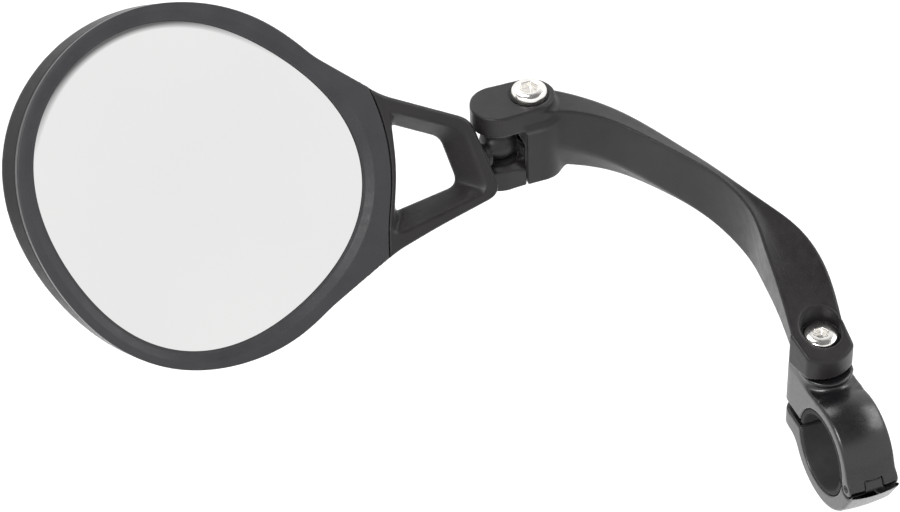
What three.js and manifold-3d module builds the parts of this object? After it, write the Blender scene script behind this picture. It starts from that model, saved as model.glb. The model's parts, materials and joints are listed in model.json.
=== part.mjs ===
// Bicycle mirror for a 22.2 mm handlebar end.
//
// Millimetres, +Z up. The pieces are drawn round the centre of the handlebar bore, half way along
// the clamp. The finished mirror is then moved so that its origin lies on the clamp's left side
// face, straight above the bore. +X runs along the handlebar, -Y points at the rider, and both
// adjusting screws are parallel to Z.
import * as THREE from 'three';
import { mergeVertices } from 'three/addons/utils/BufferGeometryUtils.js';
import Module from 'manifold-3d';

const wasm = await Module();
wasm.setup();

// ---------------------------------------------------------------- driving dimensions
const RUN_GAP = 0.3; // clearance between pieces that turn against each other
const FIT_GAP = 0.1; // clearance between pieces that sit still against each other

// Handlebar clamp
const BAR_RADIUS = 22.2 / 2;
const LINER_THICKNESS = 1.5;
const CLAMP_WIDTH = 15;
const SEAT_RADIUS = BAR_RADIUS + LINER_THICKNESS + FIT_GAP;
const BAND_RADIUS = SEAT_RADIUS + 3.6;
const HINGE_Y = -15.4;
const KNUCKLE_RADIUS = 2.5;
const KNUCKLE_HALF = 2.6;
const PIN_RADIUS = 1;
const CLAMP_SCREW_Y = 17.5;
const TAB_RADIUS = 8.3;
const TAB_TOP = 1.2;
const TAB_BOTTOM = -1.8;
const TAB_THICKNESS = 6;
const PAD_TOP = 18.3;

// Arm base, which turns on the clamp pad
const BASE_BOTTOM = 19.3;
const BASE_SHELF = 25;
const FACET_HEIGHT = 30;
const FACET_SLOPE = 0.43;
const POCKET_RADIUS = 5.7;
const POCKET_FLOOR = 25;

// Jaw that grips the ball
const BALL = new THREE.Vector3(-58.8, 108.9, 47.2);
const BALL_RADIUS = 5.5;
const JAW_SCREW_X = -48.9;
const JAW_TOP = 61;
const JAW_MOUTH_TOP = 54.4;
const JAW_LIP = 42.9;
const JAW_BOTTOM = 35.4;
const BALL_LOBE_RADIUS = 7.3;
const SCREW_LOBE_RADIUS = 6.8;
const JAW_SPLIT_X = -52.2;
const TONGUE_RADIUS = 5.2;
const TONGUE_TOP = 46;
const GUIDE_TOP = 47.6;
const JAW_SCREW_SINK = 0.4;
const SCREW_HOLE_RADIUS = 3.25;
const INSERT_RADIUS = 3.7;

// Ball stem: it points away from the arm and towards the rider
const STEM_TURN = 212;
const STEM_RADIUS = 2.4;
const STEM_LENGTH = 7.2;
const SOCKET_END = 12.4;

// Mirror head, in its own frame: x towards the ball, y up the glass, z out of the glass
const HEAD_TURN = 2.1;
const HEAD_LEAN = 35.6;
const HEAD_DROOP = -8.35;
const BALL_FROM_HEAD = new THREE.Vector3(92.4, 0, -10);
const BEZEL_WIDTH = 5.2;
const BEZEL_DEPTH = 3.6;
const SEAM_RADIUS = 56.2;
// Where the bezel is wider or narrower than usual: [angle, extra width, sharpness].
const BEZEL_SWELLS = [[60, 1.2, 13], [135, -0.7, 5], [215, 0.4, 6], [300, 1.55, 13]];
const GLASS_FRONT = -1.8;
const GLASS_THICKNESS = 2;
const PAD_THICKNESS = 2;
const WELL_FLOOR = GLASS_FRONT - GLASS_THICKNESS - PAD_THICKNESS - 2 * RUN_GAP;
const WELL_MARGIN = 2.2;
const HEAD_DEPTH = 14;
const NECK_FRONT = -0.5;
const NECK_BACK = -8.6;

// ---------------------------------------------------------------- small geometry tools
const degrees = THREE.MathUtils.degToRad;

function asSolid(geometry) {
  const bare = geometry.clone();
  bare.deleteAttribute('normal');
  bare.deleteAttribute('uv');
  const merged = mergeVertices(bare, 1e-4);
  return new wasm.Manifold(new wasm.Mesh({
    numProp: 3,
    vertProperties: new Float32Array(merged.attributes.position.array),
    triVerts: new Uint32Array(merged.index.array),
  }));
}

function asGeometry(manifold) {
  const mesh = manifold.getMesh();
  const geometry = new THREE.BufferGeometry();
  geometry.setAttribute('position', new THREE.BufferAttribute(mesh.vertProperties, 3));
  geometry.setIndex(new THREE.BufferAttribute(mesh.triVerts, 1));
  geometry.computeVertexNormals();
  return geometry;
}

function join(...parts) {
  return parts.reduce((sum, part) => sum.add(part));
}

function cut(part, ...tools) {
  return tools.reduce((rest, tool) => rest.subtract(tool), part);
}

// A closed body from triangles, leaving out the ones that have no area.
function skin(triangles) {
  const geometry = new THREE.BufferGeometry();
  const kept = triangles.filter(([a, b, c]) => {
    const area = b.clone().sub(a).cross(c.clone().sub(a)).length();
    return area > 1e-7;
  });
  geometry.setFromPoints(kept.flat());
  return mergeVertices(geometry, 1e-5);
}

// Joins rings of equal length with walls, and closes the two ends with flat caps.
function loft(rings) {
  const triangles = [];
  const count = rings[0].length;
  for (let i = 0; i + 1 < rings.length; i += 1) {
    for (let j = 0; j < count; j += 1) {
      const k = (j + 1) % count;
      triangles.push([rings[i][j], rings[i][k], rings[i + 1][k]]);
      triangles.push([rings[i][j], rings[i + 1][k], rings[i + 1][j]]);
    }
  }
  const first = rings[0];
  const last = rings[rings.length - 1];
  for (let j = 1; j + 1 < count; j += 1) {
    triangles.push([first[0], first[j + 1], first[j]]);
    triangles.push([last[0], last[j], last[j + 1]]);
  }
  return skin(triangles);
}

function extrude(shape, z0, z1) {
  const geometry = new THREE.ExtrudeGeometry(shape, {
    depth: z1 - z0, bevelEnabled: false, curveSegments: 10,
  });
  return geometry.translate(0, 0, z0);
}

// Extrudes a shape drawn in the YZ plane along X.
function extrudeAlongX(shape, x0, x1) {
  const toYZ = new THREE.Matrix4().makeBasis(
    new THREE.Vector3(0, 1, 0), new THREE.Vector3(0, 0, 1), new THREE.Vector3(1, 0, 0),
  );
  return extrude(shape, x0, x1).applyMatrix4(toYZ);
}

function rod(radius, z0, z1, x = 0, y = 0, segments = 26) {
  const geometry = new THREE.CylinderGeometry(radius, radius, z1 - z0, segments);
  return geometry.rotateX(Math.PI / 2).translate(x, y, (z0 + z1) / 2);
}

function rodAlongX(radius, x0, x1, y = 0, z = 0, segments = 26) {
  return rod(radius, x0, x1, 0, 0, segments).rotateY(Math.PI / 2).translate(0, y, z);
}

function block(x0, x1, y0, y1, z0, z1) {
  const geometry = new THREE.BoxGeometry(x1 - x0, y1 - y0, z1 - z0);
  return geometry.translate((x0 + x1) / 2, (y0 + y1) / 2, (z0 + z1) / 2);
}

// A body of revolution about Z. The profile lists [radius, height] upwards, on the outside.
function turned(profile, segments = 26) {
  const points = profile.map(([radius, height]) => new THREE.Vector2(radius, height));
  return new THREE.LatheGeometry(points, segments).rotateX(Math.PI / 2);
}

// The outline round two circles on a line parallel to X or Y.
function twoLobes(x0, y0, r0, x1, y1, r1) {
  const along = Math.atan2(y1 - y0, x1 - x0);
  const spread = Math.acos((r0 - r1) / Math.hypot(x1 - x0, y1 - y0));
  const shape = new THREE.Shape();
  shape.absarc(x0, y0, r0, along + spread, along - spread + 2 * Math.PI, false);
  shape.absarc(x1, y1, r1, along - spread, along + spread, false);
  return shape;
}

// A polygon whose corners, listed as [x, y, cut back], are rounded off.
function roundedOutline(corners, steps = 5) {
  const points = [];
  corners.forEach(([x, y, back], i) => {
    const here = new THREE.Vector2(x, y);
    const before = new THREE.Vector2(...corners[(i + corners.length - 1) % corners.length]);
    const after = new THREE.Vector2(...corners[(i + 1) % corners.length]);
    const start = here.clone().add(before.sub(here).setLength(back));
    const end = here.clone().add(after.sub(here).setLength(back));
    points.push(...new THREE.QuadraticBezierCurve(start, here, end).getPoints(steps));
  });
  return points;
}

function piece(name, source, color, roughness, metalness) {
  const geometry = source.isBufferGeometry ? source : asGeometry(source);
  const material = new THREE.MeshStandardMaterial({ color, roughness, metalness });
  const mesh = new THREE.Mesh(geometry, material);
  mesh.name = name;
  return mesh;
}

const nylon = [0x1b1b1d, 0.62, 0];
const paint = [0x0c0c0e, 0.22, 0.3];
const steel = [0xd8d6d2, 0.2, 1];
const brass = [0xb08d4a, 0.35, 1];
const rubber = [0x161616, 0.9, 0];

// ---------------------------------------------------------------- fasteners
// A button-head screw with a hexagon socket. Its head rests on z = 0.
function buttonScrew(shankRadius, length, headRadius, headHeight, acrossFlats) {
  const crown = headRadius * 0.55;
  const dome = new THREE.QuadraticBezierCurve(
    new THREE.Vector2(headRadius, headHeight * 0.2),
    new THREE.Vector2(headRadius * 0.93, headHeight),
    new THREE.Vector2(crown, headHeight),
  ).getPoints(6).map((point) => [point.x, point.y]);
  const tip = shankRadius * 0.75;
  const body = turned([
    [0, -length], [tip, -length], [shankRadius, shankRadius - tip - length],
    [shankRadius, 0], [headRadius, 0], ...dome, [0, headHeight],
  ]);
  const socket = rod(acrossFlats / Math.sqrt(3), headHeight * 0.4, headHeight + 1, 0, 0, 6);
  return cut(asSolid(body), asSolid(socket));
}

function washer(inner, outer, thickness) {
  return cut(asSolid(rod(outer, 0, thickness)), asSolid(rod(inner, -1, thickness + 1)));
}

// ---------------------------------------------------------------- clamp
// Half of the band round the handlebar: side is +1 for the upper half and -1 for the lower one.
function halfBand(side) {
  const split = 0.2;
  const half = CLAMP_WIDTH / 2;
  const reach = BAND_RADIUS + 1;
  const band = asSolid(rodAlongX(BAND_RADIUS, -half, half, 0, 0, 56));
  const z0 = side > 0 ? split : -reach;
  const z1 = side > 0 ? reach : -split;
  return band.intersect(asSolid(block(-half - 1, half + 1, -reach, reach, z0, z1)));
}

function seatCut() {
  return asSolid(rodAlongX(SEAT_RADIUS, -CLAMP_WIDTH, CLAMP_WIDTH, 0, 0, 56));
}

// The open gap between the two tabs, which lets the screw squeeze the band.
function tabGap() {
  return asSolid(block(-CLAMP_WIDTH, CLAMP_WIDTH, 5, 40, TAB_BOTTOM, TAB_TOP));
}

function tab(z0, z1) {
  const half = CLAMP_WIDTH / 2;
  const root = 5.5;
  const straight = block(-half, half, root, CLAMP_SCREW_Y, z0, z1);
  const end = asSolid(rod(TAB_RADIUS, z0, z1, 0, CLAMP_SCREW_Y));
  const trim = block(-half, half, root, CLAMP_SCREW_Y + TAB_RADIUS + 1, z0 - 1, z1 + 1);
  return join(asSolid(straight), end.intersect(asSolid(trim)));
}

function knuckle(x0, x1, radius) {
  return asSolid(rodAlongX(radius, x0, x1, HINGE_Y, 0));
}

function clampUpper() {
  const half = CLAMP_WIDTH / 2;
  const padChamfer = 0.7;
  const pad = twoLobes(0, CLAMP_SCREW_Y - 3.7, 8, 0, CLAMP_SCREW_Y, TAB_RADIUS);
  const padCrown = twoLobes(
    0, CLAMP_SCREW_Y - 3.7, 8 - padChamfer, 0, CLAMP_SCREW_Y, TAB_RADIUS - padChamfer,
  );
  const raised = join(
    asSolid(extrude(pad, PAD_TOP - 4, PAD_TOP - padChamfer)),
    asSolid(extrude(padCrown, PAD_TOP - padChamfer, PAD_TOP)),
  ).intersect(asSolid(block(-half, half, -30, 30, 0, 30)));
  const body = join(halfBand(1), tab(TAB_TOP, PAD_TOP - 3), raised);
  const middle = KNUCKLE_HALF + RUN_GAP;
  return join(
    cut(body, seatCut(), tabGap(), knuckle(-middle, middle, KNUCKLE_RADIUS + RUN_GAP)),
    knuckle(-half, -middle, KNUCKLE_RADIUS),
    knuckle(middle, half, KNUCKLE_RADIUS),
  ).subtract(knuckle(-half - 1, half + 1, PIN_RADIUS + FIT_GAP))
    .subtract(asSolid(rod(2.75, TAB_TOP - 1, PAD_TOP + 1, 0, CLAMP_SCREW_Y)));
}

function clampLower() {
  const half = CLAMP_WIDTH / 2;
  const bottom = TAB_BOTTOM - TAB_THICKNESS;
  const slotExtra = 0.8; // lets the lower half swing off the screw's tip
  const screwSlot = twoLobes(0, CLAMP_SCREW_Y, 2.7, 0, CLAMP_SCREW_Y + slotExtra, 2.7);
  const body = cut(
    join(halfBand(-1), tab(bottom, TAB_BOTTOM)),
    seatCut(),
    tabGap(),
    knuckle(-half - 1, -KNUCKLE_HALF, KNUCKLE_RADIUS + RUN_GAP),
    knuckle(KNUCKLE_HALF, half + 1, KNUCKLE_RADIUS + RUN_GAP),
    asSolid(extrude(screwSlot, bottom - 1, TAB_BOTTOM + 1)),
  );
  return join(body, knuckle(-KNUCKLE_HALF, KNUCKLE_HALF, KNUCKLE_RADIUS))
    .subtract(knuckle(-half - 1, half + 1, PIN_RADIUS + FIT_GAP));
}

function halfLiner(side) {
  const outer = SEAT_RADIUS - FIT_GAP;
  const half = CLAMP_WIDTH / 2 - 0.1;
  const edge = degrees(4);
  const start = side > 0 ? edge : Math.PI + edge;
  const end = start + Math.PI - 2 * edge;
  const shape = new THREE.Shape();
  shape.absarc(0, 0, outer, start, end, false);
  shape.absarc(0, 0, BAR_RADIUS, end, start, true);
  return extrudeAlongX(shape, -half, half);
}

function clamp() {
  const group = new THREE.Group();
  const half = CLAMP_WIDTH / 2;
  const washerThickness = 0.6;
  const screwSeat = POCKET_FLOOR + washerThickness;
  const screw = piece('clamp_screw', buttonScrew(2.5, 35, 4.75, 2.5, 3), ...steel);
  screw.position.set(0, CLAMP_SCREW_Y, screwSeat);
  const screwWasher = piece('clamp_screw_washer', washer(2.7, 4.9, washerThickness - 0.05), ...steel);
  screwWasher.position.set(0, CLAMP_SCREW_Y, POCKET_FLOOR + 0.02);
  const disc = piece('swivel_disc', washer(2.75, 7.2, BASE_BOTTOM - PAD_TOP - 0.3), ...rubber);
  disc.position.set(0, CLAMP_SCREW_Y, PAD_TOP + 0.1);
  group.add(
    piece('clamp_upper', clampUpper(), ...paint),
    piece('clamp_lower', clampLower(), ...paint),
    piece('liner_upper', halfLiner(1), ...rubber),
    piece('liner_lower', halfLiner(-1), ...rubber),
    piece('clamp_hinge_pin', rodAlongX(PIN_RADIUS, -half, half, HINGE_Y, 0, 24), ...steel),
    screw,
    screwWasher,
    disc,
  );
  return group;
}

// ---------------------------------------------------------------- arm
// The rails of the arm, from the base to the jaw. The front wall is upright, so its two edges
// share one plan; the ridge is the crest of the top, and the back edges close the section.
const RAILS = {
  frontLow: [
    [-8, 17.5, 24.9], [-6.9, 31, 27.1], [-5.3, 44, 27.8], [-4.5, 56, 27.6],
    [-9, 69.5, 31], [-18.3, 82.5, 35.4], [-30, 95.7, 40], [-41.5, 101.4, 44.3], [-47, 102.2, 46],
  ],
  frontTop: [
    [-8, 17.5, 30], [-6.9, 31, 35.8], [-5.3, 44, 40.9], [-4.5, 56, 45],
    [-9, 69.5, 48.5], [-18.3, 82.5, 51.7], [-30, 95.7, 55.3], [-41.5, 101.4, 57.8], [-47, 102.2, 58.5],
  ],
  ridge: [
    [6.4, 17.5, 30], [9.1, 31.1, 36.8], [5.8, 44.4, 41.8], [0.8, 56, 44.9],
    [-6, 70.8, 47.3], [-14, 85.8, 49.9], [-25.2, 101.3, 53.8], [-39, 111.4, 57.6], [-46, 114, 58.6],
  ],
  backTop: [
    [6.6, 17.5, 29.7], [9.5, 31, 36], [7.4, 44.4, 38.8], [4.6, 57.2, 39],
    [-1.2, 73.4, 40], [-10.6, 88.6, 44], [-22.5, 104.6, 49.2], [-38.6, 114.4, 54.7], [-45.5, 115.6, 56.6],
  ],
  backLow: [
    [6.6, 17.5, 25.1], [9.3, 31, 28.6], [7.2, 44.4, 30.4], [4.4, 57.2, 31.2],
    [-1.4, 73.3, 33.2], [-10.8, 88.5, 35.8], [-22.7, 104.5, 38.4], [-38.7, 114.3, 41], [-45.6, 115.5, 42],
  ],
  under: [
    [-7, 17.5, 24.4], [-5.9, 31, 26.5], [-4.3, 44, 27.2], [-3.5, 56.2, 27],
    [-8, 70, 30.3], [-17, 83.5, 33], [-28, 98, 33.6], [-40.8, 104.4, 35.4], [-46.5, 105, 37],
  ],
};

function railCurve(points) {
  return new THREE.CatmullRomCurve3(points.map((point) => new THREE.Vector3(...point)));
}

function armBeam() {
  const rows = 30;
  const hollow = 0.8; // how far the top facet dips between the front edge and the ridge
  const curves = Object.fromEntries(
    Object.entries(RAILS).map(([name, points]) => [name, railCurve(points)]),
  );
  const rings = [];
  for (let i = 0; i <= rows; i += 1) {
    const t = i / rows;
    const front = curves.frontTop.getPoint(t);
    const ridge = curves.ridge.getPoint(t);
    const middle = front.clone().lerp(ridge, 0.5);
    middle.z -= hollow * Math.sin(Math.PI * Math.min(1, t / 0.55)) ** 2;
    rings.push([
      curves.frontLow.getPoint(t), front, middle, ridge,
      curves.backTop.getPoint(t), curves.backLow.getPoint(t), curves.under.getPoint(t),
    ]);
  }
  return asSolid(loft(rings));
}

// The round-fronted base: a low foot on the clamp pad, and a sloping top round the screw pocket.
function armBase() {
  const frontArc = { x: -0.7, y: 18.3, radius: 10.7 };
  const arcFrom = degrees(226);
  const arcTo = degrees(312);
  const foot = new THREE.Shape();
  foot.absarc(frontArc.x, frontArc.y, frontArc.radius, arcFrom, arcTo, false);
  foot.lineTo(6.7, CLAMP_SCREW_Y + 6);
  foot.absarc(0, CLAMP_SCREW_Y, 8.9, degrees(42), degrees(176), false);
  const top = new THREE.Shape();
  top.absarc(frontArc.x, frontArc.y, frontArc.radius, arcFrom, arcTo, false);
  top.lineTo(6.7, 24);
  top.lineTo(-7.5, 24);
  const facet = new THREE.Shape([
    new THREE.Vector2(-20, FACET_HEIGHT - (CLAMP_SCREW_Y + 20) * FACET_SLOPE),
    new THREE.Vector2(40, FACET_HEIGHT + (40 - CLAMP_SCREW_Y) * FACET_SLOPE),
    new THREE.Vector2(40, 80),
    new THREE.Vector2(-20, 80),
  ]);
  return join(
    asSolid(extrude(foot, BASE_BOTTOM, BASE_SHELF)),
    asSolid(extrude(top, BASE_SHELF - 1, 40)).subtract(asSolid(extrudeAlongX(facet, -20, 20))),
  );
}

// The part of the jaw's height range on one side of a plane across X.
function jawSide(x0, x1) {
  return asSolid(block(x0, x1, BALL.y - 20, BALL.y + 20, JAW_BOTTOM - 10, JAW_TOP + 10));
}

function jawPlate() {
  return twoLobes(BALL.x, BALL.y, BALL_LOBE_RADIUS, JAW_SCREW_X, BALL.y, SCREW_LOBE_RADIUS);
}

// The fixed upper jaw over the ball, and the post beside it that the lower jaw slides in.
function armJaw() {
  const post = asSolid(extrude(jawPlate(), JAW_BOTTOM, JAW_MOUTH_TOP + 1))
    .intersect(jawSide(JAW_SPLIT_X, JAW_SCREW_X + 20));
  return join(asSolid(extrude(jawPlate(), JAW_MOUTH_TOP, JAW_TOP)), post);
}

function arm() {
  const guideRadius = TONGUE_RADIUS + RUN_GAP;
  const guide = twoLobes(BALL.x, BALL.y, guideRadius, JAW_SCREW_X, BALL.y, guideRadius);
  return cut(
    join(armBeam(), armBase(), armJaw()),
    asSolid(rod(2.75, 0, 60, 0, CLAMP_SCREW_Y)),
    asSolid(rod(POCKET_RADIUS, POCKET_FLOOR, 60, 0, CLAMP_SCREW_Y)),
    asSolid(extrude(guide, JAW_BOTTOM - 5, GUIDE_TOP)),
    asSolid(rod(SCREW_HOLE_RADIUS, GUIDE_TOP - 1, JAW_TOP + 1, JAW_SCREW_X, BALL.y)),
    asSolid(rod(5.75, JAW_TOP - JAW_SCREW_SINK - FIT_GAP, JAW_TOP + 1, JAW_SCREW_X, BALL.y)),
    asSolid(rod(6, JAW_MOUTH_TOP - 1, JAW_MOUTH_TOP + 2.6, BALL.x, BALL.y)),
  );
}

// A cup below the ball, and a tongue round the screw that slides in the arm's guide.
function lowerJaw() {
  const bottom = JAW_BOTTOM - 0.2;
  const far = BALL.x - 20;
  const cup = asSolid(extrude(jawPlate(), bottom, JAW_LIP))
    .intersect(jawSide(far, JAW_SPLIT_X - RUN_GAP));
  const tongue = twoLobes(BALL.x, BALL.y, TONGUE_RADIUS, JAW_SCREW_X, BALL.y, TONGUE_RADIUS);
  const step = asSolid(extrude(tongue, bottom, TONGUE_TOP))
    .intersect(jawSide(JAW_SPLIT_X - 0.9, JAW_SCREW_X + 20));
  const bowlDepth = 4.3;
  const bowl = asSolid(rod(BALL_RADIUS, JAW_LIP - bowlDepth, JAW_LIP + 1, BALL.x, BALL.y))
    .intersect(jawSide(far, JAW_SPLIT_X - 1));
  return cut(
    join(cup, asSolid(extrude(tongue, bottom, JAW_LIP)), step),
    bowl,
    asSolid(rod(INSERT_RADIUS + FIT_GAP, JAW_BOTTOM + 0.6, TONGUE_TOP + 1, JAW_SCREW_X, BALL.y)),
    asSolid(rod(3.2, bottom - 1, TONGUE_TOP + 1, JAW_SCREW_X, BALL.y)),
  );
}

// A cup with a spherical dimple that holds the ball. side is +1 above the ball and -1 below it.
function ballSeat(side, radius, near, far) {
  const cup = BALL_RADIUS + 0.15;
  const z0 = Math.min(side * near, side * far);
  const z1 = Math.max(side * near, side * far);
  const ball = new THREE.SphereGeometry(cup, 26, 16).rotateX(Math.PI / 2);
  return cut(asSolid(rod(radius, z0, z1)), asSolid(ball));
}

function armAndJaw() {
  const group = new THREE.Group();
  const screw = piece('jaw_screw', buttonScrew(3, 25, 5.25, 2.9, 4), ...steel);
  screw.position.set(JAW_SCREW_X, BALL.y, JAW_TOP - JAW_SCREW_SINK);
  const insertLength = 7.5;
  const insert = piece('jaw_thread_insert', washer(3.1, INSERT_RADIUS, insertLength), ...brass);
  insert.position.set(JAW_SCREW_X, BALL.y, JAW_BOTTOM + 0.7);
  const seats = new THREE.Group();
  seats.position.copy(BALL);
  seats.add(
    piece('ball_seat_upper', ballSeat(1, 5.8, 4.6, 9.6), ...rubber),
    piece('ball_seat_lower', ballSeat(-1, 5.3, 5, 8.4), ...rubber),
  );
  group.add(
    piece('arm', arm(), ...nylon),
    piece('lower_jaw', lowerJaw(), ...nylon),
    screw,
    insert,
    seats,
  );
  return group;
}

// ---------------------------------------------------------------- ball and its screw
// Both are turned about the stem, which runs along +X of the stem group.
function turnedAlongX(profile) {
  return turned(profile).rotateY(Math.PI / 2);
}

function ballOnStem() {
  const bore = 1.65;
  const sinkDepth = 4.6;
  const from = Math.acos(-sinkDepth / BALL_RADIUS);
  const to = Math.asin(STEM_RADIUS / BALL_RADIUS);
  const round = [];
  for (let i = 0; i <= 12; i += 1) {
    const angle = from + (to - from) * (i / 12);
    round.push([BALL_RADIUS * Math.sin(angle), BALL_RADIUS * Math.cos(angle)]);
  }
  const rim = [2.85, -4.4];
  return turnedAlongX([
    [bore, -3.2], rim, ...round, [STEM_RADIUS, STEM_LENGTH], [bore, STEM_LENGTH], [bore, -3.2],
  ]);
}

function ballScrew() {
  const body = turnedAlongX([[0, -4.2], [2.5, -4.2], [1.5, -3.2], [1.5, 12], [0, 12]]);
  const socket = rodAlongX(1.15, -5, -3, 0, 0, 6);
  return cut(asSolid(body), asSolid(socket));
}

function stem() {
  const group = new THREE.Group();
  group.position.copy(BALL);
  group.rotation.z = degrees(STEM_TURN);
  const insert = turnedAlongX([[1.6, 8], [2.3, 8], [2.3, 12.1], [1.6, 12.1], [1.6, 8]]);
  group.add(
    piece('ball', ballOnStem(), 0x0e0e10, 0.3, 0),
    piece('ball_screw', ballScrew(), ...steel),
    piece('neck_thread_insert', insert, ...brass),
  );
  return group;
}

// ---------------------------------------------------------------- mirror head
// The rim of the visible glass: nearly a circle, with soft lobes up-left and down-right.
function glassRim(angle) {
  return 45.2
    + 1.2 * Math.cos(angle + degrees(10.6))
    + 1.56 * Math.cos(2 * (angle + degrees(45)))
    + 1.33 * Math.cos(3 * (angle - degrees(4.5)))
    + 0.66 * Math.cos(4 * (angle + degrees(6.5)));
}

// The distance from the centre to a straight edge whose normal points at the given angle. The
// edge runs from that normal round to the neck, at angle 0.
function straightEdge(angle, distance, facing) {
  const turn = ((angle + Math.PI) % (2 * Math.PI)) - Math.PI;
  const share = turn / degrees(facing);
  return share >= 0 && share < 1 ? distance / Math.cos(turn - degrees(facing)) : 0;
}

// A swelling that is 1 at the given angle and fades to 0 a quarter turn away on both sides.
function swelling(angle, centre, power) {
  return Math.max(0, Math.cos(angle - degrees(centre))) ** power;
}

// The outside of the head: the bezel's width round the glass, drawn out towards the neck.
function headRim(angle) {
  const width = BEZEL_SWELLS.reduce(
    (sum, [centre, extra, power]) => sum + extra * swelling(angle, centre, power), BEZEL_WIDTH,
  );
  const flared = Math.max(
    glassRim(angle) + width,
    straightEdge(angle, 47.5, 54.2),
    straightEdge(angle, 51.8, -58.2),
  );
  return Math.min(flared, SEAM_RADIUS);
}

// The back shell stands proud of the bezel on the side away from the neck.
function shellRim(angle) {
  return headRim(angle) + 3 * swelling(angle, 165, 2);
}

const onAxis = () => 0;

// A body swept round the head's axis. Each profile point is [rim function, offset, z]; the
// profile runs anticlockwise in section and either closes on itself or starts and ends on the axis.
function rimBody(profile) {
  const segments = 64;
  const ring = (i) => {
    const angle = (2 * Math.PI * i) / segments;
    return profile.map(([rim, offset, z]) => {
      const radius = rim === onAxis ? 0 : rim(angle) + offset;
      return new THREE.Vector3(radius * Math.cos(angle), radius * Math.sin(angle), z);
    });
  };
  const triangles = [];
  for (let i = 0; i < segments; i += 1) {
    const here = ring(i);
    const next = ring((i + 1) % segments);
    for (let j = 0; j < profile.length; j += 1) {
      const k = (j + 1) % profile.length;
      triangles.push([here[j], next[j], next[k]]);
      triangles.push([here[j], next[k], here[k]]);
    }
  }
  return skin(triangles);
}

function bezel() {
  const lip = 1.5;
  return rimBody([
    [glassRim, 0.6, -lip], [glassRim, 1.9, -lip], [glassRim, 1.9, -BEZEL_DEPTH],
    [headRim, -0.1, -BEZEL_DEPTH], [headRim, 0, -1.6], [headRim, -0.5, -0.5],
    [headRim, -1.6, 0], [glassRim, 1.6, 0], [glassRim, 0, -1.2],
  ]);
}

function glass() {
  const back = GLASS_FRONT - GLASS_THICKNESS;
  return rimBody([
    [onAxis, 0, back], [glassRim, 1.5, back], [glassRim, 1.5, GLASS_FRONT], [onAxis, 0, GLASS_FRONT],
  ]);
}

function backingPad() {
  const front = GLASS_FRONT - GLASS_THICKNESS - RUN_GAP;
  return rimBody([
    [onAxis, 0, front - PAD_THICKNESS], [glassRim, -1, front - PAD_THICKNESS],
    [glassRim, -1, front], [onAxis, 0, front],
  ]);
}

// The dished back of the head, with the well that holds the pad and the glass.
function headShell() {
  const rimFront = -BEZEL_DEPTH - RUN_GAP;
  return asSolid(rimBody([
    [onAxis, 0, -HEAD_DEPTH], [glassRim, -18, -HEAD_DEPTH + 0.3], [glassRim, -4, -HEAD_DEPTH + 1.3],
    [shellRim, -3.4, -HEAD_DEPTH + 2.2], [shellRim, -1, -HEAD_DEPTH + 3.6],
    [shellRim, 0, -HEAD_DEPTH + 5.6],
    [headRim, -0.2, rimFront], [glassRim, WELL_MARGIN, rimFront],
    [glassRim, WELL_MARGIN, WELL_FLOOR], [onAxis, 0, WELL_FLOOR],
  ]));
}

function toRing(points, z) {
  return points.map((point) => new THREE.Vector3(point.x, point.y, z));
}

// The open frame between the head and the ball. Its window narrows towards the back.
function neckFrame() {
  const outline = roundedOutline([
    [46, 25.4, 0.5], [57, 17.6, 3], [80.6, 8.1, 3.5], [88.9, -14.6, 4.5],
    [66.3, -22.6, 6], [56.5, -25.9, 3], [46, -32.4, 0.5],
  ]);
  const openFront = roundedOutline([
    [58, 12.8, 1.6], [79.4, 4.9, 3], [84.1, -14, 3], [53, -23.9, 2.5], [57.6, -5, 8],
  ]).reverse();
  const openBack = roundedOutline([
    [58.8, 9.4, 1.6], [73.8, 3.4, 2.5], [77.6, -11.6, 2.5], [56.6, -17.4, 2.5], [58.6, -5, 6],
  ]).reverse();
  const frame = asSolid(extrude(new THREE.Shape(outline), NECK_BACK, NECK_FRONT));
  const mouth = loft([
    toRing(openBack, NECK_BACK - 1), toRing(openBack, NECK_BACK + 1.6),
    toRing(openFront, NECK_FRONT - 0.4), toRing(openFront, NECK_FRONT + 1),
  ]);
  return { frame, mouth: asSolid(mouth) };
}

// Turns a rod along Z so that it runs along the stem, in the head's own frame.
function alongStem(geometry, stemInHead) {
  const turn = new THREE.Quaternion().setFromUnitVectors(new THREE.Vector3(0, 0, 1), stemInHead);
  return geometry.applyQuaternion(turn).translate(BALL_FROM_HEAD.x, BALL_FROM_HEAD.y, BALL_FROM_HEAD.z);
}

function rearHousing(stemInHead) {
  const { frame, mouth } = neckFrame();
  const openFront = 5;
  const bezelSpace = rimBody([
    [onAxis, 0, -BEZEL_DEPTH - RUN_GAP], [headRim, RUN_GAP, -BEZEL_DEPTH - RUN_GAP],
    [headRim, RUN_GAP, openFront], [onAxis, 0, openFront],
  ]);
  const wellSpace = rimBody([
    [onAxis, 0, WELL_FLOOR], [glassRim, WELL_MARGIN, WELL_FLOOR],
    [glassRim, WELL_MARGIN, openFront], [onAxis, 0, openFront],
  ]);
  const boss = alongStem(rod(3.6, STEM_LENGTH + RUN_GAP, SOCKET_END + 0.6), stemInHead);
  const socket = alongStem(rod(2.3 + RUN_GAP, 0, SOCKET_END), stemInHead);
  return cut(
    join(headShell(), cut(join(frame, asSolid(boss)), mouth, asSolid(bezelSpace), asSolid(wellSpace))),
    asSolid(socket),
  );
}

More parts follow.
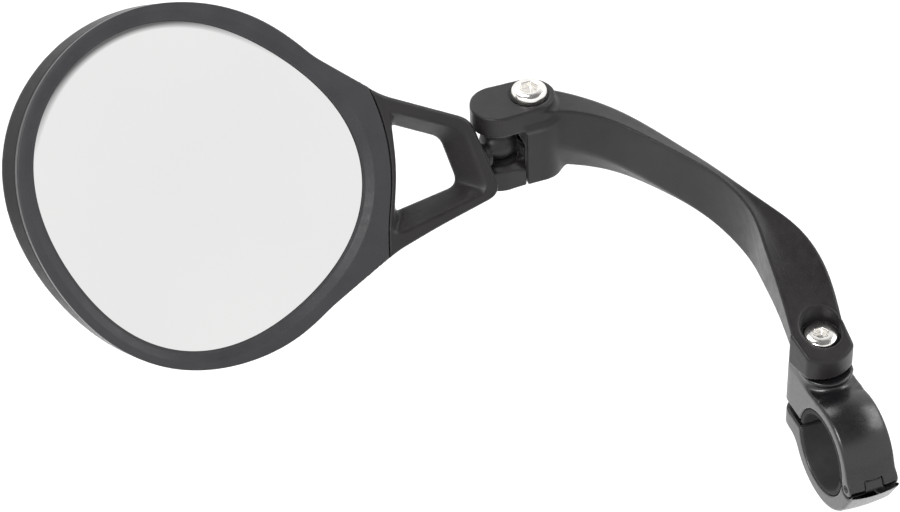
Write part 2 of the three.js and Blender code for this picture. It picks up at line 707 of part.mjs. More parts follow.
function head() {
  const outer = new THREE.Group();
  outer.position.copy(BALL);
  outer.rotation.set(degrees(90 - HEAD_LEAN), 0, degrees(HEAD_TURN), 'ZXY');
  const inner = new THREE.Group();
  inner.rotation.z = degrees(HEAD_DROOP);
  const centre = new THREE.Group();
  centre.position.copy(BALL_FROM_HEAD).negate();
  outer.add(inner);
  inner.add(centre);
  const stemAngle = degrees(STEM_TURN);
  const stemInHead = new THREE.Vector3(Math.cos(stemAngle), Math.sin(stemAngle), 0)
    .applyQuaternion(outer.quaternion.clone().multiply(inner.quaternion).invert());
  centre.add(
    piece('rear_housing', rearHousing(stemInHead), ...nylon),
    piece('front_bezel', bezel(), ...nylon),
    piece('mirror_glass', glass(), 0xe8e8e6, 0.03, 1),
    piece('glass_backing_pad', backingPad(), ...rubber),
  );
  return outer;
}

// ---------------------------------------------------------------- the whole mirror
const mirror = new THREE.Group();
mirror.position.set(CLAMP_WIDTH / 2, 0, -(SEAT_RADIUS + BAND_RADIUS) / 2);
mirror.add(clamp(), armAndJaw(), stem(), head());

export default mirror;
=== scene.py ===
import json
import math

import bpy
import numpy as np
from mathutils import Matrix, Vector


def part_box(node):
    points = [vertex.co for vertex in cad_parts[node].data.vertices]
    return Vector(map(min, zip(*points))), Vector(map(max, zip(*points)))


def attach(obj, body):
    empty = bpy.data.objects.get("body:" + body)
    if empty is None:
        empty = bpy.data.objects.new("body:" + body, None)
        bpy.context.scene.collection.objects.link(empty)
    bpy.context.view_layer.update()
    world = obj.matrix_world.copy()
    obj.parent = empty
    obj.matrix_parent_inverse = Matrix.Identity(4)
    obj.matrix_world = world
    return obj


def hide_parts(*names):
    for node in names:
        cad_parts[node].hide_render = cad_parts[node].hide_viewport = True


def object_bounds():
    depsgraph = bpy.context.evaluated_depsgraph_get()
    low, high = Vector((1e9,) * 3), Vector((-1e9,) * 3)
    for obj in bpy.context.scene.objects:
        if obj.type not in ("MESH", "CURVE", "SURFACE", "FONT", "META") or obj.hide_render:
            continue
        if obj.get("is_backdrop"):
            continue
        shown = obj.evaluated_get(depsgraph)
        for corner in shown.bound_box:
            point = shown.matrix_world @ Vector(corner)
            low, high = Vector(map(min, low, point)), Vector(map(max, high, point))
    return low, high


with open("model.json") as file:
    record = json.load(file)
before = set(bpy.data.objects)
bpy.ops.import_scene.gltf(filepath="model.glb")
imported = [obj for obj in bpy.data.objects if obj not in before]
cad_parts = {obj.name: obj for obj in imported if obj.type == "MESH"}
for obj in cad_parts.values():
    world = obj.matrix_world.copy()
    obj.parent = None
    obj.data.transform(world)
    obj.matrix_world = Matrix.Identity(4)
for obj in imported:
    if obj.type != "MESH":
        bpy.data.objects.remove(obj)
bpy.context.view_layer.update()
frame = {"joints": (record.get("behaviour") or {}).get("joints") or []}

# ------------------------------------------------------------------ places taken from the frame
# Shapes are worked out in millimetres, in the drawing's frame: the origin is the centre of the
# handlebar bore. A vector in the row frame, in metres, is (drawing + BORE) / MM.
MM = 1000.0
JOINTS = {joint["name"]: joint for joint in frame["joints"]}


def box_mm(node):
    low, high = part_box(node)
    return np.array(low) * MM, np.array(high) * MM


def place_mm(joint):
    return np.array(JOINTS[joint]["pos_m"]) * MM


BORE = (box_mm("liner_upper")[1] + box_mm("liner_lower")[0]) / 2


def drawing_box(node):
    low, high = box_mm(node)
    return low - BORE, high - BORE


BALL = place_mm("mirror_yaw") - BORE
SWIVEL = place_mm("arm_swivel") - BORE
JAW_SCREW = place_mm("jaw_screw_turn") - BORE
HINGE = place_mm("clamp_open") - BORE
CLAMP_HALF = (box_mm("clamp_upper")[1] - box_mm("clamp_upper")[0])[0] / 2
PAD_TOP = drawing_box("clamp_upper")[1][2]
BAND_RADIUS = -drawing_box("clamp_lower")[0][2]
LINER_OUTER = drawing_box("liner_upper")[1][2]
LINER_THICKNESS = 1.5
BASE_BOTTOM = drawing_box("arm")[0][2]
JAW_TOP = drawing_box("arm")[1][2]
JAW_FLOOR = drawing_box("lower_jaw")[0][2]
POCKET_FLOOR, WASHER_TOP = (corner[2] for corner in drawing_box("clamp_screw_washer"))
CUP_TOP = drawing_box("ball_seat_lower")[1][2] + 0.7

# ------------------------------------------------------------------ signed distances
# A solid is a function of an (n, 3) array of points. It gives about the distance to the surface,
# negative inside. Blends take k, the width over which two surfaces melt together.


def smax(a, b, k):
    h = np.clip(0.5 - 0.5 * (b - a) / k, 0, 1)
    return b + (a - b) * h + k * h * (1 - h)


def smin(a, b, k):
    return -smax(-a, -b, k)


def cylinder(x, y, x0, y0, radius):
    return np.hypot(x - x0, y - y0) - radius


def capsule(x, y, a, b, ra, rb):
    """The outline round two circles, with straight sides between them."""
    ax, ay = a
    dx, dy = b[0] - ax, b[1] - ay
    length = math.hypot(dx, dy)
    along = ((x - ax) * dx + (y - ay) * dy) / length
    across = np.abs((x - ax) * dy - (y - ay) * dx) / length
    lean = (ra - rb) / length
    foot = along - across * lean / math.sqrt(1 - lean * lean)
    share = np.clip(foot / length, 0, 1)
    return np.hypot(along - share * length, across) - (ra + (rb - ra) * share)


def slab(z, low, high, k):
    return smax(low - z, z - high, k)


def polygon(x, y, points):
    """Signed distance to a closed outline, exact, negative inside."""
    nearest = np.full(x.shape, 1e9)
    inside = np.zeros(x.shape, bool)
    for (ax, ay), (bx, by) in zip(points, np.roll(points, -1, axis=0)):
        dx, dy = bx - ax, by - ay
        share = np.clip(((x - ax) * dx + (y - ay) * dy) / (dx * dx + dy * dy), 0, 1)
        nearest = np.minimum(nearest, np.hypot(x - ax - share * dx, y - ay - share * dy))
        if ay != by:
            crosses = (ay > y) != (by > y)
            inside ^= crosses & (x < (bx - ax) * (y - ay) / (by - ay) + ax)
    return np.where(inside, -nearest, nearest)


def rounded(corners, steps=8):
    """Rounds the corners of an outline listed as [x, y, cut back]. x may be a row of values."""
    places = [np.stack(np.broadcast_arrays(x, y), -1).astype(float) for x, y, _ in corners]
    points = []
    for i, (_, _, back) in enumerate(corners):
        here = places[i]
        before = places[i - 1] - here
        after = places[(i + 1) % len(corners)] - here
        start = here + before / np.linalg.norm(before, axis=-1, keepdims=True) * back
        end = here + after / np.linalg.norm(after, axis=-1, keepdims=True) * back
        for t in np.linspace(0, 1, steps + 1):
            points.append((1 - t) ** 2 * start + 2 * t * (1 - t) * here + t * t * end)
    return np.array(points)


class Sampled:
    """A 2D distance worked out once on a fine grid, then read between its points."""

    def __init__(self, function, low, high, step):
        self.low, self.step = np.array(low, float), step
        self.count = np.ceil((np.array(high) - self.low) / step).astype(int) + 1
        xs = self.low[0] + np.arange(self.count[0]) * step
        ys = self.low[1] + np.arange(self.count[1]) * step
        x, y = np.meshgrid(xs, ys, indexing="ij")
        self.values = function(x.ravel(), y.ravel()).reshape(x.shape)

    def __call__(self, x, y):
        gx = np.clip((x - self.low[0]) / self.step, 0, self.count[0] - 1.001)
        gy = np.clip((y - self.low[1]) / self.step, 0, self.count[1] - 1.001)
        i, j = gx.astype(int), gy.astype(int)
        u, v = gx - i, gy - j
        f = self.values
        low = f[i, j] * (1 - u) + f[i + 1, j] * u
        high = f[i, j + 1] * (1 - u) + f[i + 1, j + 1] * u
        return low * (1 - v) + high * v


# ------------------------------------------------------------------ from a solid to a mesh
BLOCK = 8


def sample_near_surface(solid, low, step, blocks):
    """Values of the solid on a grid, worked out only in the blocks that the surface may cross."""
    shape = blocks * BLOCK + 1
    centres = np.stack(np.meshgrid(*[np.arange(n) + 0.5 for n in blocks], indexing="ij"), -1)
    middle = solid(low + centres.reshape(-1, 3) * BLOCK * step).reshape(blocks)
    reach = BLOCK * step * math.sqrt(3) / 2 * 1.3 + step
    values = np.ones(shape, np.float32)
    inside = np.repeat(np.repeat(np.repeat(middle < 0, BLOCK, 0), BLOCK, 1), BLOCK, 2)
    values[:-1, :-1, :-1][inside] = -1
    local = np.stack(np.meshgrid(*[np.arange(BLOCK + 1)] * 3, indexing="ij"), -1).reshape(-1, 3)
    active = np.argwhere(np.abs(middle) < reach)
    for start in range(0, len(active), 400):
        corner = active[start:start + 400] * BLOCK
        index = corner[:, None, :] + local[None]
        points = low + index.reshape(-1, 3) * step
        flat = index.reshape(-1, 3)
        values[flat[:, 0], flat[:, 1], flat[:, 2]] = solid(points)
    return values


def surface(solid, low, high, step):
    """Vertices and quads of a solid's surface: one vertex in each cell that the surface crosses."""
    low = np.array(low, float) - 2 * step
    size = np.array(high, float) + 2 * step - low
    blocks = np.ceil(size / (step * BLOCK)).astype(int)
    f = sample_near_surface(solid, low, step, blocks)
    sign = f < 0
    cells = np.array(f.shape) - 1
    corners = [(a, b, c) for a in (0, 1) for b in (0, 1) for c in (0, 1)]

    def at(corner, array):
        a, b, c = corner
        return array[a:a + cells[0], b:b + cells[1], c:c + cells[2]]

    count = sum(at(c, sign).astype(np.int8) for c in corners)
    crossed = (count > 0) & (count < 8)
    where = np.argwhere(crossed)
    number = np.full(crossed.shape, -1, np.int64)
    number[crossed] = np.arange(len(where))
    total = np.zeros((len(where), 3))
    hits = np.zeros(len(where))
    for one in corners:
        for axis in range(3):
            if one[axis]:
                continue
            two = tuple(1 if i == axis else one[i] for i in range(3))
            fa = f[tuple((where + one).T)]
            fb = f[tuple((where + two).T)]
            cross = (fa < 0) != (fb < 0)
            share = np.where(cross, fa / np.where(cross, fa - fb, 1), 0)
            point = where + np.array(one)
            moved = point.astype(float)
            moved[:, axis] += share
            total += moved * cross[:, None]
            hits += cross
    vertices = low + total / hits[:, None] * step
    quads = []
    for axis in range(3):
        b, c = (axis + 1) % 3, (axis + 2) % 3
        first = [slice(1, -1)] * 3
        first[axis] = slice(0, -1)
        second = list(first)
        second[axis] = slice(1, None)
        here, there = sign[tuple(first)], sign[tuple(second)]
        edges = np.argwhere(here != there)
        edges[:, b] += 1
        edges[:, c] += 1
        flip = here[here != there]
        step_b, step_c = np.eye(3, dtype=int)[b], np.eye(3, dtype=int)[c]
        ring = [edges - step_b - step_c, edges - step_c, edges, edges - step_b]
        quad = np.stack([number[tuple(r.T)] for r in ring], 1)
        quads.append(np.where(flip[:, None], quad, quad[:, ::-1]))
    return vertices, np.concatenate(quads)


def settle(solid, vertices, step, rounds=2):
    """Moves the vertices onto the solid's own surface."""
    nudge = 0.05
    for _ in range(rounds):
        value = solid(vertices)
        slope = np.stack([
            (solid(vertices + axis) - solid(vertices - axis)) / (2 * nudge)
            for axis in np.eye(3) * nudge
        ], 1)
        square = np.maximum((slope ** 2).sum(1), 0.2)
        move = slope * (value / square)[:, None]
        length = np.linalg.norm(move, axis=1, keepdims=True)
        vertices = vertices - move * np.minimum(1, 0.5 * step / np.maximum(length, 1e-9))
    return vertices


def mesh_object(name, vertices, faces, to_row=True):
    """A smooth-shaded object from points in the drawing's frame."""
    if to_row:
        vertices = (np.asarray(vertices, float) + BORE) / MM
    if not isinstance(faces, list):
        faces = faces.tolist()
    mesh = bpy.data.meshes.new(name)
    mesh.from_pydata(np.asarray(vertices).tolist(), [], faces)
    mesh.validate()
    mesh.shade_smooth()
    obj = bpy.data.objects.new(name, mesh)
    bpy.context.scene.collection.objects.link(obj)
    return obj


def solid_object(name, solid, low, high, step, place=None):
    vertices, faces = surface(solid, low, high, step)
    vertices = settle(solid, vertices, step)
    if place is not None:
        vertices = place(vertices)
    return mesh_object(name, vertices, faces)


def finish_piece(obj, body, slot, material, *nodes):
    obj.data.materials.append(material)
    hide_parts(*nodes)
    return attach(obj, body)


# ------------------------------------------------------------------ arm
# Rails of the arm from its base to the jaw, in millimetres. The front wall stands upright, the
# ridge is the crest of the top, and the other rails close the section behind and below.
RAILS = {
    "front_low": [(-9.1, 17.5, 24.5), (-6.9, 31, 26.3), (-5.3, 44, 26.8), (-4.5, 56, 26.6),
                  (-9, 69.5, 30.3), (-18.3, 82.5, 35.2), (-30, 95.7, 40), (-41.5, 101.4, 44.3),
                  (-47, 102.2, 46)],
    "front_top": [(-9.1, 17.5, 30), (-6.9, 31, 35.8), (-5.3, 44, 40.9), (-4.5, 56, 45),
                  (-9, 69.5, 48.5), (-18.3, 82.5, 51.7), (-30, 95.7, 55.3), (-41.5, 101.4, 57.8),
                  (-47, 102.2, 58.5)],
    "ridge": [(6.4, 17.5, 30), (8.3, 31.1, 36.8), (6.5, 44.4, 41.9), (0.8, 56, 44.9),
              (-6, 70.8, 47.3), (-14, 85.8, 49.9), (-25.2, 101.3, 53.8), (-39, 111.4, 57.6),
              (-46, 114, 58.6)],
    "back_top": [(6.6, 17.5, 29.7), (8.7, 31, 36), (8, 44.4, 38.8), (4.6, 57.2, 39),
                 (-1.2, 73.4, 40), (-10.6, 88.6, 44), (-22.5, 104.6, 49.2), (-38.6, 114.4, 54.7),
                 (-45.5, 115.6, 56.6)],
    "back_low": [(6.6, 17.5, 25.1), (8.6, 31, 28.6), (7.6, 44.4, 30.4), (4.4, 57.2, 31.2),
                 (-1.4, 73.3, 33.2), (-10.8, 88.5, 35.8), (-22.7, 104.5, 38.4),
                 (-38.7, 114.3, 41), (-45.6, 115.5, 42)],
    "under": [(-8.2, 17.5, 24), (-5.9, 31, 25.7), (-4.3, 44, 26.2), (-3.5, 56.2, 26),
              (-8, 70, 29.6), (-17, 83.5, 32.7), (-28, 98, 33.6), (-40.8, 104.4, 35.4),
              (-46.5, 105, 37)],
}
STATIONS = 400


def spline(points):
    """A smooth curve through evenly numbered points, as a table of STATIONS rows."""
    p = np.array(points, float)
    n = len(p)
    system = np.diag(np.full(n, 4.0)) + np.diag(np.ones(n - 1), 1) + np.diag(np.ones(n - 1), -1)
    system[0, 0] = system[-1, -1] = 2
    right = np.zeros_like(p)
    right[1:-1] = 3 * (p[2:] - p[:-2])
    right[0], right[-1] = 3 * (p[1] - p[0]), 3 * (p[-1] - p[-2])
    slope = np.linalg.solve(system, right)
    t = np.linspace(0, n - 1, STATIONS)
    i = np.minimum(t.astype(int), n - 2)
    u = (t - i)[:, None]
    return ((1 + 2 * u) * (1 - u) ** 2 * p[i] + u * (1 - u) ** 2 * slope[i]
            + u * u * (3 - 2 * u) * p[i + 1] + u * u * (u - 1) * slope[i + 1])


class Beam:
    """The curved part of the arm: at each station, a polygon in an upright plane across it."""

    EDGE_ROUND = 0.6

    def __init__(self):
        rail = {name: spline(points) for name, points in RAILS.items()}
        start = rail["front_top"][:, :2]
        across = rail["back_top"][:, :2] - start
        across /= np.linalg.norm(across, axis=1, keepdims=True)
        self.start, self.across = start, across
        self.t = np.arange(STATIONS, dtype=float)
        order = ["front_low", "front_top", "ridge", "back_top", "back_low", "under"]
        flat = {
            name: np.stack([((rail[name][:, :2] - start) * across).sum(1), rail[name][:, 2]], 1)
            for name in order
        }
        self.planes = []
        for one, two in zip(order, order[1:] + order[:1]):
            side = flat[two] - flat[one]
            side /= np.linalg.norm(side, axis=1, keepdims=True)
            normal = np.stack([-side[:, 1], side[:, 0]], 1)
            self.planes.append((normal, -(normal * flat[one]).sum(1)))
        self.top_width = flat["ridge"][:, 0]
        self.station = Sampled(self.find_station, (-75, 5), (20, 125), 0.5)

    def find_station(self, x, y):
        forward = np.stack([-self.across[:, 1], self.across[:, 0]], 1)
        ahead = ((x[:, None] - self.start[:, 0]) * forward[:, 0]
                 + (y[:, None] - self.start[:, 1]) * forward[:, 1])
        passed = np.clip((ahead > 0).sum(1), 1, STATIONS - 1)
        row = np.arange(len(x))
        before, after = ahead[row, passed - 1], ahead[row, passed]
        share = before / np.where(np.abs(before - after) > 1e-9, before - after, 1)
        return passed - 1 + np.clip(share, 0, 1)

    def section(self, x, y):
        t = self.station(x, y)
        start_x = np.interp(t, self.t, self.start[:, 0])
        start_y = np.interp(t, self.t, self.start[:, 1])
        across_x = np.interp(t, self.t, self.across[:, 0])
        across_y = np.interp(t, self.t, self.across[:, 1])
        u = (x - start_x) * across_x + (y - start_y) * across_y
        ahead = (y - start_y) * across_x - (x - start_x) * across_y
        return t, u, ahead

    def __call__(self, x, y, z):
        t, u, ahead = self.section(x, y)
        distance = None
        for number, (normal, offset) in enumerate(self.planes):
            nu = np.interp(t, self.t, normal[:, 0])
            nz = np.interp(t, self.t, normal[:, 1])
            d = nu * u + nz * z + np.interp(t, self.t, offset)
            if number == 1:
                d = d + self.dip(t, u)
            distance = d if distance is None else smax(distance, d, self.EDGE_ROUND)
        return smax(distance, np.abs(ahead) - 0.2, 0.5)

    def dip(self, t, u):
        """The top facet is dished between its edges, most of all beside the ridge's end."""
        share = np.clip(u / np.interp(t, self.t, self.top_width), 0, 1)
        fade = np.sin(math.pi * np.clip(t / (0.55 * STATIONS), 0, 1)) ** 2
        return 0.8 * fade * np.sin(math.pi * share)


BEAM = Beam()
BALL_XY, SCREW_XY, SWIVEL_XY = tuple(BALL[:2]), tuple(JAW_SCREW[:2]), tuple(SWIVEL[:2])
# The jaw: how far it hangs below the plain shape, its plate, round ends and split from the post.
JAW_DROP, JAW_PLATE = 1.0, 6.8
JAW_BOTTOM = JAW_FLOOR + 0.2 - JAW_DROP
MOUTH_TOP = JAW_TOP - JAW_PLATE
LOBE, SCREW_LOBE = 7.9, 7.5
SPLIT_X = BALL[0] + 6.1
POST_SHIFT = (2.0, -0.5)
TONGUE, GUIDE, GUIDE_TOP = 5.2, 5.5, 47.6
JAW_SCREW_HOLE, JAW_HEAD_SEAT, SEAT_RECESS = 3.25, 5.75, 6.0
# The base: the round front as centre and radius, then its sides, its facet and the disc behind it.
BASE_FRONT = (-0.7, 18.3, 10.7)
BASE_LEFT, BASE_FLARE, FLARE_START = -7.6, 0.21, 9.5
BASE_RIGHT, BASE_BACK = 6.7, 18.0
FACET_HEIGHT, FACET_SLOPE = 30.0, 0.43
DISC_RADIUS, DISC_TOP = 8.2, 25.0
CLAMP_SCREW_HOLE, POCKET_RADIUS = 2.75, 5.8


def arm_base(x, y, z):
    """The round-fronted column on the clamp's pad, and the low disc behind it."""
    left = (BASE_LEFT - BASE_FLARE * (y - FLARE_START) - x) / math.hypot(1, BASE_FLARE)
    sides = smax(left, x - BASE_RIGHT, 0.5)
    plan = smax(smax(cylinder(x, y, *BASE_FRONT), sides, 0.45), y - BASE_BACK, 0.3)
    slope = math.hypot(1, FACET_SLOPE)
    facet = (z - FACET_HEIGHT - (y - SWIVEL[1]) * FACET_SLOPE) / slope
    column = smax(plan, smax(BASE_BOTTOM - z, facet, 0.7), 0.7)
    disc = cylinder(x, y, *SWIVEL_XY, DISC_RADIUS)
    return column, smax(disc, slab(z, BASE_BOTTOM, DISC_TOP, 0.7), 0.7)


def arm_solid(p):
    x, y, z = p.T
    column, disc = arm_base(x, y, z)
    body = smin(smin(BEAM(x, y, z), column, 0.15), disc, 0.6)
    plate_plan = capsule(x, y, BALL_XY, SCREW_XY, LOBE, SCREW_LOBE)
    plate = smax(plate_plan, slab(z, MOUTH_TOP, JAW_TOP, 0.5), 0.45)
    post_end = (SCREW_XY[0] + POST_SHIFT[0], SCREW_XY[1] + POST_SHIFT[1])
    post_plan = capsule(x, y, BALL_XY, post_end, LOBE, SCREW_LOBE)
    post = smax(post_plan, slab(z, JAW_BOTTOM, MOUTH_TOP + 0.6, 0.8), 0.5)
    post = smax(post, SPLIT_X - x, 0.35)
    jaw = smin(plate, post, 1.6)
    body = smin(body, jaw, 1.6)
    pocket = smax(cylinder(x, y, *SWIVEL_XY, POCKET_RADIUS), POCKET_FLOOR - z, 0.4)
    body = smax(body, -pocket, 0.7)
    body = smax(body, -cylinder(x, y, *SWIVEL_XY, CLAMP_SCREW_HOLE), 0.3)
    return cut_jaw(body, x, y, z)


def cut_jaw(body, x, y, z):
    """Cuts the loose jaw's guide, the jaw screw's hole and seat, and the upper seat's recess."""
    guide = smax(capsule(x, y, BALL_XY, SCREW_XY, GUIDE, GUIDE), z - GUIDE_TOP, 0.4)
    body = smax(body, -guide, 0.5)
    body = smax(body, -cylinder(x, y, *SCREW_XY, JAW_SCREW_HOLE), 0.3)
    seat = smax(cylinder(x, y, *SCREW_XY, JAW_HEAD_SEAT), JAW_TOP - 0.5 - z, 0.2)
    body = smax(body, -seat, 0.3)
    ball_space = cylinder(x, y, *BALL_XY, SEAT_RECESS)
    recess = smax(ball_space, slab(z, MOUTH_TOP - 3, MOUTH_TOP + 2.6, 0.3), 0.3)
    return smax(body, -recess, 0.4)


# ------------------------------------------------------------------ lower jaw and ball
BALL_RADIUS = 5.5
BOWL_RADIUS, BOWL_DEPTH = 5.6, 4.3
TONGUE_TOP = 46.0
INSERT_HOLE, INSERT_BORE = 3.8, 3.2


def lower_jaw_solid(p):
    x, y, z = p.T
    bottom = JAW_FLOOR - JAW_DROP
    plan = capsule(x, y, BALL_XY, SCREW_XY, LOBE, SCREW_LOBE)
    cup = smax(plan, x - (SPLIT_X - 0.35), 0.7)
    lip = (cylinder(x, y, *BALL_XY, LOBE - 1.5) + z - CUP_TOP) / math.sqrt(2)
    cup = smax(smax(cup, lip, 0.3), slab(z, bottom, CUP_TOP, 0.5), 0.7)
    tongue_plan = capsule(x, y, BALL_XY, SCREW_XY, TONGUE, TONGUE)
    tongue = smax(tongue_plan, slab(z, bottom, CUP_TOP, 0.5), 0.5)
    step = smax(tongue_plan, slab(z, bottom, TONGUE_TOP, 0.5), 0.5)
    step = smax(step, SPLIT_X - 0.4 - x, 0.3)
    step = smax(step, BALL_RADIUS + 0.3 - np.linalg.norm(p - BALL, axis=1), 0.2)
    body = smin(smin(cup, tongue, 0.3), step, 0.3)
    bowl = smax(cylinder(x, y, *BALL_XY, BOWL_RADIUS), CUP_TOP - BOWL_DEPTH - z, 0.4)
    bowl = smax(bowl, x - (SPLIT_X - 0.9), 0.3)
    insert_hole = smax(cylinder(x, y, *SCREW_XY, INSERT_HOLE), JAW_BOTTOM + 0.6 - z, 0.2)
    body = smax(smax(body, -bowl, 0.5), -insert_hole, 0.3)
    return smax(body, -cylinder(x, y, *SCREW_XY, INSERT_BORE), 0.3)


STEM_TURN = math.radians(212)
STEM_DIRECTION = np.array([math.cos(STEM_TURN), math.sin(STEM_TURN), 0])
STEM_RADIUS, STEM_END, STEM_HOLE, SINK_START = 2.4, 7.2, 1.65, 3.2


def along_stem(p):
    """Distance along the stem from the ball's centre, and distance from the stem's axis."""
    q = p - BALL
    along = q @ STEM_DIRECTION
    return along, np.linalg.norm(q - along[:, None] * STEM_DIRECTION, axis=1)


def ball_solid(p):
    along, off = along_stem(p)
    ball = np.hypot(along, off) - BALL_RADIUS
    stem = smax(off - STEM_RADIUS, np.maximum(-along, along - STEM_END), 0.3)
    body = smin(ball, stem, 1.2)
    sink = (off - STEM_HOLE) - np.maximum(0, -SINK_START - along)
    return smax(smax(body, -sink, 0.3), -(off - STEM_HOLE), 0.3)


# ------------------------------------------------------------------ mirror head
HEAD_TURN, HEAD_LEAN, HEAD_DROOP = (math.radians(a) for a in (2.1, 35.6, -8.35))
BALL_FROM_HEAD = np.array([92.4, 0, -10])
BEZEL_WIDTH, BEZEL_DEPTH, SEAM_RADIUS = 5.2, 3.6, 56.6
# Where the bezel is wider or narrower than usual: (angle, extra width, sharpness).
BEZEL_SWELLS = ((60, 1.2, 13), (135, -0.7, 5), (215, 0.4, 6), (300, 1.55, 13))
SEAM_FLARE, FLARE_AT, FLARE_POWER = 3.8, -32, 80
HEAD_DEPTH, DISH, BACK_ROUND = 14.0, 1.6, 3.5
WELL_MARGIN, WELL_FLOOR = 2.2, -6.4
NECK_FRONT, NECK_BACK = -0.5, -8.6
BOSS_RADIUS, BOSS_START, BOSS_END = 4.1, 7.5, 13.0
SOCKET_RADIUS, SOCKET_END = 2.6, 12.4
HEAD_AXES = np.array(
    Matrix.Rotation(HEAD_TURN, 3, "Z")
    @ Matrix.Rotation(math.pi / 2 - HEAD_LEAN, 3, "X")
    @ Matrix.Rotation(HEAD_DROOP, 3, "Z")
)


def head_to_drawing(p):
    return (np.asarray(p) - BALL_FROM_HEAD) @ HEAD_AXES.T + BALL


STEM_IN_HEAD = STEM_DIRECTION @ HEAD_AXES


# The glass outline is a circle with a few slow waves round it: (waves, size, lead in degrees).
GLASS_RADIUS = 45.2
GLASS_WAVES = ((1, 1.2, 10.6), (2, 1.56, 45), (3, 1.33, -4.5), (4, 0.66, 6.5))


def glass_rim(a):
    """Radius of the glass's outline at an angle round the head."""
    return GLASS_RADIUS + sum(
        size * np.cos(waves * (a + math.radians(lead))) for waves, size, lead in GLASS_WAVES)


def straight_edge(a, distance, facing):
    """A straight edge whose normal is at the angle facing; it runs from there to angle 0."""
    facing = math.radians(facing)
    turn = (a + math.pi) % (2 * math.pi) - math.pi
    share = turn / facing
    reach = distance / np.maximum(np.cos(turn - facing), 0.2)
    return np.where((share >= 0) & (share < 1), reach, 0)


def swelling(a, centre, power):
    """1 at the given angle, fading to 0 a quarter turn away on both sides."""
    return np.maximum(0, np.cos(a - math.radians(centre))) ** power


def head_rim(a):
    edges = np.maximum(straight_edge(a, 47.5, 54.2), straight_edge(a, 51.8, -58.2))
    width = BEZEL_WIDTH + sum(extra * swelling(a, centre, power)
                              for centre, extra, power in BEZEL_SWELLS)
    flared = smax(glass_rim(a) + width, edges, 0.6)
    return smin(flared, SEAM_RADIUS + SEAM_FLARE * swelling(a, FLARE_AT, FLARE_POWER), 0.2)


def shell_rim(a):
    """The back shell stands proud of the bezel on the side away from the neck."""
    return head_rim(a) + 3.0 * swelling(a, 165, 2)


RIM_TABLE = 1440
RIM_ANGLES = np.arange(RIM_TABLE + 1) * 2 * math.pi / RIM_TABLE
GLASS_TABLE, HEAD_TABLE = glass_rim(RIM_ANGLES), head_rim(RIM_ANGLES)
SHELL_TABLE = shell_rim(RIM_ANGLES)

NECK_OUTLINE = rounded([
    (40, 29.5, 0.5), (57, 17.6, 3), (82.0, 7.7, 3.5), (88.9, -14.6, 4.5),
    (78.4, -18.3, 4), (68.9, -21.6, 5), (56.1, -26.7, 3), (40, -36.4, 0.5),
])
WINDOW_FRONT = rounded([
    (58.6, 12.8, 1.6), (79.4, 4.9, 3), (84.1, -13.4, 3), (54.4, -22.4, 4.5), (58.6, -5, 8),
])
WINDOW_BACK = rounded([
    (60, 9, 1.6), (74.2, 3.4, 2.5), (78.0, -10.8, 3.5), (58.2, -15.9, 1.5), (59.9, -5, 6),
])
WINDOW_BOX = ((30, -45), (95, 35), 0.3)
NECK_PLAN = Sampled(lambda x, y: polygon(x, y, NECK_OUTLINE), *WINDOW_BOX)
FRONT_PLAN = Sampled(lambda x, y: polygon(x, y, WINDOW_FRONT), *WINDOW_BOX)
BACK_PLAN = Sampled(lambda x, y: polygon(x, y, WINDOW_BACK), *WINDOW_BOX)


def housing_solid(p):
    """The back of the head and the open neck frame, in the head's own frame."""
    x, y, z = p.T
    radius = np.hypot(x, y)
    angle = np.arctan2(y, x) % (2 * math.pi)
    glass = np.interp(angle, RIM_ANGLES, GLASS_TABLE)
    rim = radius - np.interp(angle, RIM_ANGLES, HEAD_TABLE) + 0.15
    deep = np.clip((-BEZEL_DEPTH - 0.4 - z) / (HEAD_DEPTH - 9), 0, 1)
    proud = np.interp(angle, RIM_ANGLES, SHELL_TABLE - HEAD_TABLE)
    dish = DISH * np.clip(radius / glass, 0, 1.2) ** 3
    shell = smax(rim - proud * deep, -HEAD_DEPTH + dish - z, BACK_ROUND)
    shell = smax(shell, z + BEZEL_DEPTH + 0.35, 0.5)
    neck = smax(NECK_PLAN(x, y), slab(z, NECK_BACK, NECK_FRONT, 1.2), 1.2)
    body = smin(shell, neck, 2.5)
    q = p - BALL_FROM_HEAD
    along = q @ STEM_IN_HEAD
    off = np.linalg.norm(q - along[:, None] * STEM_IN_HEAD, axis=1)
    boss = smax(off - BOSS_RADIUS, slab(along, BOSS_START, BOSS_END, 0.5), 0.6)
    body = smin(body, boss, 1.2)
    share = np.clip((z - NECK_BACK - 1.6) / (NECK_FRONT - NECK_BACK - 2), 0, 1)
    window = BACK_PLAN(x, y) * (1 - share) + FRONT_PLAN(x, y) * share
    window = np.maximum(window, SEAM_RADIUS + 0.9 - radius)
    body = smax(body, -window, 1.0)
    bezel_space = np.maximum(rim - 0.45, -BEZEL_DEPTH - 0.35 - z)
    body = smax(body, -bezel_space, 0.35)
    well = np.maximum(radius - glass - WELL_MARGIN, WELL_FLOOR - z)
    body = smax(body, -well, 0.4)
    socket = np.maximum(off - SOCKET_RADIUS, along - SOCKET_END)
    return smax(body, -socket, 0.3)


def ring_faces(rows, columns, closed):
    """Quads between rows of points, each row a ring; closed joins the last row to the first."""
    faces = []
    for i in range(rows if closed else rows - 1):
        k = (i + 1) % rows
        for j in range(columns):
            m = (j + 1) % columns
            faces.append((i * columns + j, i * columns + m, k * columns + m, k * columns + j))
    return faces


RIM_SEGMENTS = 360
TURN = np.arange(RIM_SEGMENTS) * 2 * math.pi / RIM_SEGMENTS
GLASS_RIM, HEAD_RIM = glass_rim(TURN), head_rim(TURN)


